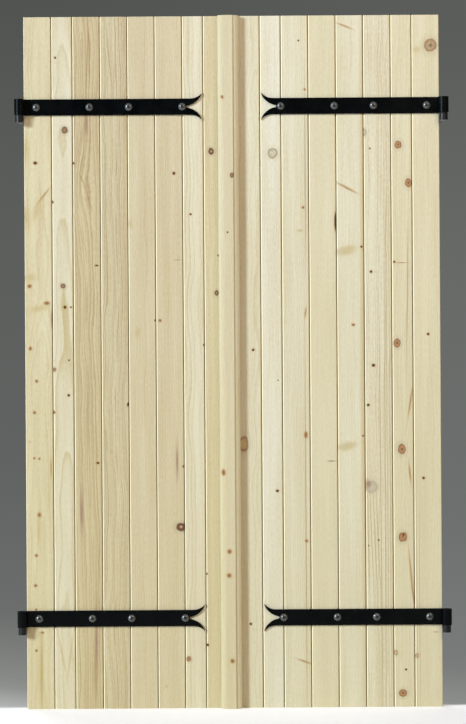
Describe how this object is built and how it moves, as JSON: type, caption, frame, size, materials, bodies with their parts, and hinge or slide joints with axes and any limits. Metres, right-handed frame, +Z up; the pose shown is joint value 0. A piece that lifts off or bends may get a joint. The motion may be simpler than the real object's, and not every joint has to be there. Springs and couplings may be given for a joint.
{
  "type": "double-leaf hinged window shutter",
  "caption": "Hinged window shutter of upright tongue-and-groove softwood boards with V joints, black fishtail strap hinges on pintles and a moulded strip over the meeting edge.",
  "frame": {"origin": "on the wall face, at the centre of the rectangle of the four pintle shanks", "axes": "+X along the wall to the right as seen from outside, +Y into the wall along the shanks, +Z up"},
  "size_m": [0.94, 0.1121, 1.5],
  "materials": {
    "board_wood": "planed, unfinished spruce",
    "strip_wood": "planed, unfinished spruce",
    "black_steel": "satin black paint",
    "zinc_steel": "zinc plated"
  },
  "bodies": {
    "wall_pintles": {"left_upper_pintle": "black_steel", "left_lower_pintle": "black_steel", "right_upper_pintle": "black_steel", "right_lower_pintle": "black_steel"},
    "left_leaf": {"left_board_1": "board_wood", "left_board_2": "board_wood", "left_board_3": "board_wood", "left_board_4": "board_wood", "left_board_5": "board_wood", "left_board_6": "board_wood", "left_board_7": "board_wood", "left_board_8": "board_wood", "left_upper_strap": "black_steel", "left_upper_counter_strap": "black_steel", "left_upper_bolts": "black_steel", "left_upper_nuts": "black_steel", "left_lower_strap": "black_steel", "left_lower_counter_strap": "black_steel", "left_lower_bolts": "black_steel", "left_lower_nuts": "black_steel", "left_tie_rods": "zinc_steel", "left_rod_washers": "zinc_steel", "left_rod_nuts": "zinc_steel", "cover_strip": "strip_wood", "cover_strip_screws": "zinc_steel"},
    "right_leaf": {"right_board_1": "board_wood", "right_board_2": "board_wood", "right_board_3": "board_wood", "right_board_4": "board_wood", "right_board_5": "board_wood", "right_board_6": "board_wood", "right_board_7": "board_wood", "right_board_8": "board_wood", "right_upper_strap": "black_steel", "right_upper_counter_strap": "black_steel", "right_upper_bolts": "black_steel", "right_upper_nuts": "black_steel", "right_lower_strap": "black_steel", "right_lower_counter_strap": "black_steel", "right_lower_bolts": "black_steel", "right_lower_nuts": "black_steel", "right_tie_rods": "zinc_steel", "right_rod_washers": "zinc_steel", "right_rod_nuts": "zinc_steel"}
  },
  "joints": [
    {"name": "left_leaf_swing", "type": "hinge", "parent": "wall_pintles", "child": "left_leaf", "pos_m": [-0.459, -0.04305, 0], "axis": [0, 0, -1], "range_deg": [0, 180]},
    {"name": "right_leaf_swing", "type": "hinge", "parent": "wall_pintles", "child": "right_leaf", "pos_m": [0.459, -0.04305, 0], "axis": [0, 0, 1], "range_deg": [0, 180]}
  ],
  "couplings": [
    {"joint": "right_leaf_swing", "follows": "left_leaf_swing", "ratio": 1}
  ]
}
